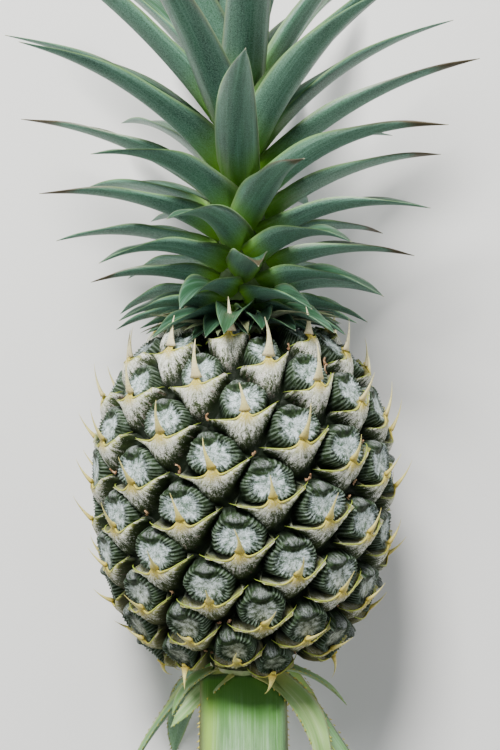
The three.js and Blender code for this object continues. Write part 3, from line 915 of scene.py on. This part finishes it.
def rind_material():
    """The eyes: dark wrinkled green with painted highlights on the fold crests and the brow, silver fuzz in
    the middle, speckled silver on the bract, and painted shade in the grooves.
    """
    paint = Paint("rind", 0.55, specular=0.14)
    ramp, mix, product, total = paint.ramp, paint.mix, paint.product, paint.total
    fuzz, fold, brow, bract, way, wing, deep, tone, level, ray_x, ray_y, far = paint.values(*EYE_VALUES)
    grain = paint.noise(2100, detail=3, roughness=0.75)
    blotch = paint.noise(480, detail=3, roughness=0.6)
    rays = paint.vector(product(ray_x, 8.5), product(ray_y, 8.5),
                        total(product(far, 0.42), product(tone, 60.0)))
    streaks = paint.noise(1.0, rays, detail=4, roughness=0.75)
    speckle = total(product(streaks, 0.55), product(grain, 0.45))
    swing = product(total(speckle, -0.5), 3.2)
    patch = product(total(blotch, -0.5), 1.5)
    foot = ramp(level, 0.42, 0.05)

    dome = mix(ramp(blotch, 0.35, 0.68), RIND["dome_dark"], RIND["dome_light"])
    # Painted highlight: the crests of the dome's folds are painted lighter, as glints.
    crest_highlight = product(ramp(fold, 0.3, 0.95), ramp(streaks, 0.36, 0.60), 0.75)
    dome = mix(crest_highlight, dome, RIND["crest_highlight"])
    # Grey scurf on the brow, kept to its upper half: partly the brow's own scurf, partly a painted
    # highlight.
    scurf_and_highlight = product(ramp(speckle, 0.40, 0.62), ramp(brow, 0.1, 0.75), 0.8)
    dome = mix(scurf_and_highlight, dome, RIND["scurf_and_highlight"])
    silver = mix(ramp(total(swing, patch), -0.42, 0.44), RIND["fuzz_dark"], RIND["fuzz_light"])
    silver = mix(product(foot, 0.7), silver, RIND["fuzz_foot"])
    cover = total(fuzz, product(swing, 0.36), patch, product(foot, -0.45), 0.04)
    dome = mix(ramp(cover, 0.12, 1.18), dome, silver)

    bare = total(product(way, -0.95), product(wing, -0.22), product(level, 0.6))
    scales = ramp(total(bare, swing, product(patch, 0.4), 0.40), 0.0, 0.46)
    green = mix(blotch, RIND["bract_dark"], RIND["bract_light"])
    pale = mix(ramp(swing, -0.2, 0.3), RIND["scale_dark"], RIND["scale_light"])
    leafy = mix(scales, green, pale)
    near_wings = total(product(wing, 0.9), 0.42)
    lime = product(ramp(way, 0.6, 0.0), near_wings, ramp(speckle, 0.62, 0.44))
    leafy = mix(lime, leafy, RIND["lime"])
    leafy = mix(product(ramp(way, 0.05, 0.0), 0.8), leafy, RIND["border"])
    red = product(ramp(streaks, 0.56, 0.66), ramp(tone, 0.3, 0.8), 0.6)
    leafy = mix(red, leafy, RIND["red"])
    glow = product(ramp(far, 6.4, 2.2), ramp(grain, 0.8, 0.5), 0.95)
    leafy = mix(glow, leafy, RIND["glow"])
    leafy = mix(product(foot, 0.5), leafy, RIND["bract_foot"])

    colour = mix(bract, dome, leafy)
    # Painted shade: the grooves between the eyes darken towards near black.
    colour = mix(product(deep, 0.96), colour, RIND["groove"])
    return paint.finish(colour, speckle, 0.5, 0.0005)


EDGE = {
    "middle": (0.63, 0.52, 0.08), "wing": (0.28, 0.37, 0.05), "root": (0.49, 0.38, 0.055),
    "spike": (0.76, 0.68, 0.22), "top_spike": (0.84, 0.80, 0.68), "grain": (0.34, 0.22, 0.08),
}


def edge_material():
    """The bracts' yellow edges, and their spikes: ochre at the root, cream beyond it."""
    paint = Paint("spike", 0.5, specular=0.3)
    ramp, mix = paint.ramp, paint.mix
    along, kind, tone, level = paint.values(*EDGE_VALUES)
    grain = paint.noise(1500, detail=3)
    edge = mix(ramp(along, 0.1, 0.9), EDGE["middle"], EDGE["wing"])
    spike = mix(ramp(along, 0.0, 0.4), EDGE["root"], EDGE["spike"])
    spike = mix(paint.product(ramp(level, 0.55, 1.0), 0.6), spike, EDGE["top_spike"])
    colour = mix(kind, edge, spike)
    colour = mix(ramp(grain, 0.5, 0.85), colour, EDGE["grain"])
    return paint.finish(colour, grain, 0.3, 0.0003)


def dry_material():
    """The brown scraps at the wings' tips."""
    paint = Paint("dry_tip", 0.7)
    grain = paint.noise(1300, detail=3)
    colour = paint.mix(paint.ramp(grain, 0.35, 0.65), (0.19, 0.085, 0.035), (0.56, 0.36, 0.20))
    return paint.finish(colour, grain, 0.5, 0.0005)


CROWN_COLOURS = {
    "dark": (0.005, 0.025, 0.008), "light": (0.022, 0.094, 0.034), "scales": (0.21, 0.40, 0.31),
    "rim": (0.25, 0.42, 0.12), "foot": (0.16, 0.37, 0.008), "warm": (0.030, 0.075, 0.014),
}
NECK_COLOURS = {
    "dark": (0.050, 0.085, 0.026), "light": (0.15, 0.19, 0.075), "scales": (0.38, 0.40, 0.28),
    "rim": (0.42, 0.42, 0.24), "foot": (0.13, 0.19, 0.045), "warm": (0.28, 0.21, 0.11),
}
STALK_COLOURS = {
    "dark": (0.040, 0.145, 0.028), "light": (0.105, 0.265, 0.070), "scales": (0.33, 0.50, 0.36),
    "rim": (0.34, 0.30, 0.14), "foot": (0.075, 0.205, 0.030), "warm": (0.10, 0.25, 0.04),
    "sunny": (0.27, 0.42, 0.05),
}
BRACT_COLOURS = {
    "dark": (0.13, 0.29, 0.07), "light": (0.29, 0.45, 0.16), "scales": (0.50, 0.60, 0.42),
    "rim": (0.56, 0.50, 0.20), "foot": (0.38, 0.42, 0.10), "warm": (0.26, 0.40, 0.10),
}
DRY_BROWN = (0.072, 0.056, 0.028)
PALE_TIP = (0.42, 0.42, 0.27)
SUNNY_SHARE = 0.75


def leaf_material(name, colours, bloom):
    """A leaf: fine lengthwise lines, grey scales, a light rim, its foot's colour and a dry tip."""
    paint = Paint(name, 0.36, specular=0.3)
    ramp, mix, product, total = paint.ramp, paint.mix, paint.product, paint.total
    along, rim, across, side, run, under, tone, number, dry = paint.values(*LEAF_VALUES)
    lines = paint.noise(1.0, paint.vector(product(across, 1.9), product(run, 0.018), number),
                        detail=4, roughness=0.7)
    broad = paint.noise(1.0, paint.vector(product(across, 0.30), product(run, 0.03), number))
    scales = paint.noise(2200, roughness=0.6)

    colour = mix(ramp(broad, 0.32, 0.66), colours["dark"], colours["light"])
    colour = mix(product(ramp(tone, 0.45, 1.0), 0.4), colour, colours["warm"])
    in_light = total(ramp(broad, 0.35, 0.65), 0.25)
    colour = mix(product(ramp(lines, 0.44, 0.68), in_light, 0.38), colour, colours["scales"])
    grey = product(ramp(scales, 0.1, 0.9), total(product(under, 0.8), bloom))
    colour = mix(grey, colour, colours["scales"])
    if "sunny" in colours:
        colour = mix(product(ramp(side, -0.45, -0.8), SUNNY_SHARE), colour, colours["sunny"])
    foot = product(ramp(along, 0.29, 0.03), ramp(lines, 0.1, 0.45))
    colour = mix(foot, colour, colours["foot"])
    colour = mix(product(ramp(rim, 0.90, 0.99), 0.5), colour, colours["rim"])
    end = total(along, product(dry, 0.13), product(lines, 0.10))
    margin = product(ramp(rim, 0.78, 0.97), ramp(along, 0.42, 0.8), 0.85)
    brown = product(total(ramp(end, 0.97, 1.06), margin), dry)
    colour = mix(brown, colour, DRY_BROWN)
    colour = mix(product(ramp(along, 0.965, 0.99), 0.7), colour, PALE_TIP)
    paint.shader["Sheen Weight"].default_value = 0.05
    return paint.finish(colour, lines, 0.35, 0.0006)


def stalk_material(name, dark, light, cloudy, cut):
    """A stalk: fibrous green sides, and a face of its own colour where it is cut across."""
    paint = Paint(name, 0.5)
    ramp, mix = paint.ramp, paint.mix
    fibres = paint.noise(900, detail=4)
    colour = mix(fibres, dark, light)
    colour = mix(ramp(paint.noise(120), 0.45, 0.7), colour, cloudy)
    facing = paint.node("VectorMath", paint.place("Normal"), operation="DOT_PRODUCT")
    facing.inputs[1].default_value = turned((0, -1, 0))
    bundles = paint.product(ramp(paint.noise(1500, detail=1), 0.5, 0.66), 0.45)
    colour = mix(ramp(facing.outputs["Value"], 0.9, 0.97), colour, mix(bundles, cut, light))
    return paint.finish(colour, fibres, 0.4, 0.0006)


def floor_material():
    paint = Paint("floor", 0.85)
    return paint.finish(paint.mix(paint.noise(3.0), (0.78, 0.78, 0.765), (0.82, 0.82, 0.805)))


# The whole. The names of the values are those that the materials read.
EYE_VALUES = "fuzz fold brow bract way wing deep tone level ray_x ray_y far".split()
EDGE_VALUES = "along kind tone level".split()
LEAF_VALUES = "along rim across side run under tone number dry".split()
CROWN_BLOOM = 0.06
NECK_BLOOM = 0.1
STALK_BLOOM = 0.05
DRY_LEAF_CHANCE = 0.35


def in_groups(numbers, size):
    return [numbers[i:i + size] for i in range(0, len(numbers), size)]


def build_fruit():
    """The fruit: its eyes in joined pieces, its edges and spikes, and its dry tips."""
    chance = np.random.default_rng(SEED)
    rind = rind_material()
    edges, scraps = Mesh(EDGE_VALUES), Mesh(EDGE_VALUES)
    groups = in_groups(eye_numbers(), PIECE_EYES)
    for part, group in enumerate(groups):
        eyes = Mesh(EYE_VALUES)
        squares = len(group) + 1
        for index, number in enumerate(group):
            eye = eye_variation(number, chance)
            add_eye(eyes, index, squares, number, eye)
            add_edge(edges, number, eye)
            add_spike(edges, number, eye, chance)
            for wing in (WING_LEFT, WING_RIGHT):
                if chance.uniform() < DRY_TIP_CHANCE:
                    add_dry_tip(scraps, number, chance, wing)
        if part == 0:
            add_end(eyes, np.linspace(0, END_BAND, END_RINGS), FOOT_HEIGHT, len(group), squares)
        if part == len(groups) - 1:
            arcs = np.linspace(SKIN_LENGTH - END_BAND, SKIN_LENGTH, END_RINGS)
            add_end(eyes, arcs, FRUIT_TOP, len(group), squares)
        eyes.piece(f"fruit_eyes_{part + 1}", rind, "rind", ["fruit"])
    edges.piece("fruit_spikes", edge_material(), "rind", ["fruit"])
    scraps.piece("fruit_dry_tips", dry_material(), "rind", ["fruit"])


def crown_nodes(numbers):
    """The CAD nodes that hold the leaves of these numbers."""
    names = ["crown_collar"] * COLLAR_LEAVES
    names += [f"crown_leaf_{k + 1:02d}" for k in range(FREE_LEAVES)]
    names += ["crown_heart"] * HEART_LEAVES
    return sorted({names[max(0, number)] for number in numbers})


def build_crown():
    """The crown's leaves in joined pieces, and the leaflets at the fruit's neck."""
    chance = np.random.default_rng(SEED + 1)
    material = leaf_material("crown_leaf", CROWN_COLOURS, CROWN_BLOOM)
    numbers = list(range(-LOW_LEAVES, COLLAR_LEAVES + FREE_LEAVES + HEART_LEAVES))
    for part, group in enumerate(in_groups(numbers, PIECE_LEAVES)):
        mesh = Mesh(LEAF_VALUES)
        for number in group:
            leaf = crown_leaf(number)
            leaf["dry"] = float(number > COLLAR_LEAVES and chance.uniform() < DRY_LEAF_CHANCE)
            add_blade(mesh, leaf, lean_crown, chance)
        mesh.piece(f"crown_leaves_{part + 1}", material, "crown_leaf", crown_nodes(group))

    mesh = Mesh(LEAF_VALUES)
    for number in range(NECK_LEAFLETS):
        add_blade(mesh, neck_leaflet(number, chance), lean_crown, chance)
    mesh.piece("neck_leaflets", leaf_material("neck_leaf", NECK_COLOURS, NECK_BLOOM), "crown_leaf")


def build_stalk_leaves():
    """The leaves and bracts that hang from the stalk's top, and their teeth."""
    chance = np.random.default_rng(SEED + 2)
    green = leaf_material("stalk_leaf", STALK_COLOURS, STALK_BLOOM)
    pale = leaf_material("stalk_bract", BRACT_COLOURS, STALK_BLOOM)
    teeth = Mesh(EDGE_VALUES)
    for index, (name, (turn, lean, bend, length, width, own)) in enumerate(STALK_LEAVES.items()):
        leaf = {**HANGING, "turn": math.radians(turn), "lean": lean, "bend": bend, "length": length,
                "width": width, "number": 100 + index, **own}
        leaf = rest_on_floor(leaf, as_it_is)
        mesh = Mesh(LEAF_VALUES)
        add_blade(mesh, leaf, as_it_is, chance)
        is_pale = "bract" in name or "curled" in name
        mesh.piece(f"{name}_fine", pale if is_pale else green, "stalk_leaf", [name])
        add_teeth(teeth, leaf, as_it_is, chance)
    teeth.piece("stalk_leaf_teeth", edge_material(), "stalk_leaf")


def finish_stems():
    """Materials for the CAD part's stalk and crown stem, which stay in the scene."""
    stalk = stalk_material("stalk", dark=(0.16, 0.25, 0.07), light=(0.36, 0.45, 0.18),
                           cloudy=(0.44, 0.46, 0.26), cut=(0.70, 0.70, 0.46))
    stem = stalk_material("crown_stem", dark=(0.04, 0.10, 0.008), light=(0.10, 0.20, 0.02),
                          cloudy=(0.07, 0.15, 0.015), cut=(0.10, 0.20, 0.02))
    for name, material in (("stalk", stalk), ("crown_stem", stem)):
        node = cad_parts[name]
        node.data.materials.clear()
        node.data.materials.append(material)


def build_floor():
    bpy.ops.mesh.primitive_plane_add(size=6, location=(0, 0, 0))
    floor = bpy.context.object
    floor.name = "floor"
    floor.data.materials.append(floor_material())


# The camera looks down on the fruit's face, from a little towards the crown.
FRUIT_MIDDLE = np.array([0, 66.0, 0])
CAMERA_DISTANCE = 560
CAMERA_RAISED = 9
AIM = FRUIT_MIDDLE + np.array([2.75, 49.5, 0])
FRAME_HIGH = 750  # pixels, as the focal length is
FOCAL_PIXELS = 1372.5
SENSOR = 36

# The lights: each one's place, size, power and colour. All are turned to one point.
LIGHTS_AIM = (0, 0, 0.05)
LIGHTS = {
    "key": ((-0.25, 0.9, 1.1), 0.42, 46, (1.0, 0.99, 0.96)),
    "fill": ((0.95, -0.4, 0.9), 0.9, 6, (0.96, 0.98, 1.0)),
    "left": ((-1.0, -0.1, 0.7), 0.8, 6, (0.97, 0.99, 1.0)),
}
WORLD_COLOUR = (0.93, 0.95, 1.0, 1)
WORLD_STRENGTH = 0.19


def add_camera():
    cosine, sine = cosine_and_sine(CAMERA_RAISED)
    eye = FRUIT_MIDDLE + CAMERA_DISTANCE * np.array([0, sine, cosine])
    where, aim, above = (Vector(placed(point)) for point in (eye, AIM, eye + np.array([0, 100, 0])))
    back = (where - aim).normalized()
    right = (above - where).cross(back).normalized()
    up = back.cross(right)
    camera = bpy.data.cameras.new("camera")
    camera.sensor_fit = "VERTICAL"
    camera.sensor_height = SENSOR
    camera.lens = FOCAL_PIXELS * SENSOR / FRAME_HIGH
    holder = linked("camera", camera)
    holder.matrix_world = Matrix.Translation(where) @ Matrix((right, up, back)).transposed().to_4x4()
    bpy.context.scene.camera = holder


def add_lights():
    for name, (place, size, power, colour) in LIGHTS.items():
        light = bpy.data.lights.new(name, "AREA")
        light.shape = "DISK"
        light.size = size
        light.energy = power
        light.color = colour
        holder = linked(name, light)
        holder.location = place
        holder.rotation_euler = (Vector(place) - Vector(LIGHTS_AIM)).to_track_quat("Z", "Y").to_euler()
    world = bpy.data.worlds.new("studio")
    world.use_nodes = True
    background = world.node_tree.nodes["Background"].inputs
    background["Color"].default_value = WORLD_COLOUR
    background["Strength"].default_value = WORLD_STRENGTH
    bpy.context.scene.world = world


add_camera()
add_lights()
build_floor()
build_fruit()
build_crown()
build_stalk_leaves()
finish_stems()
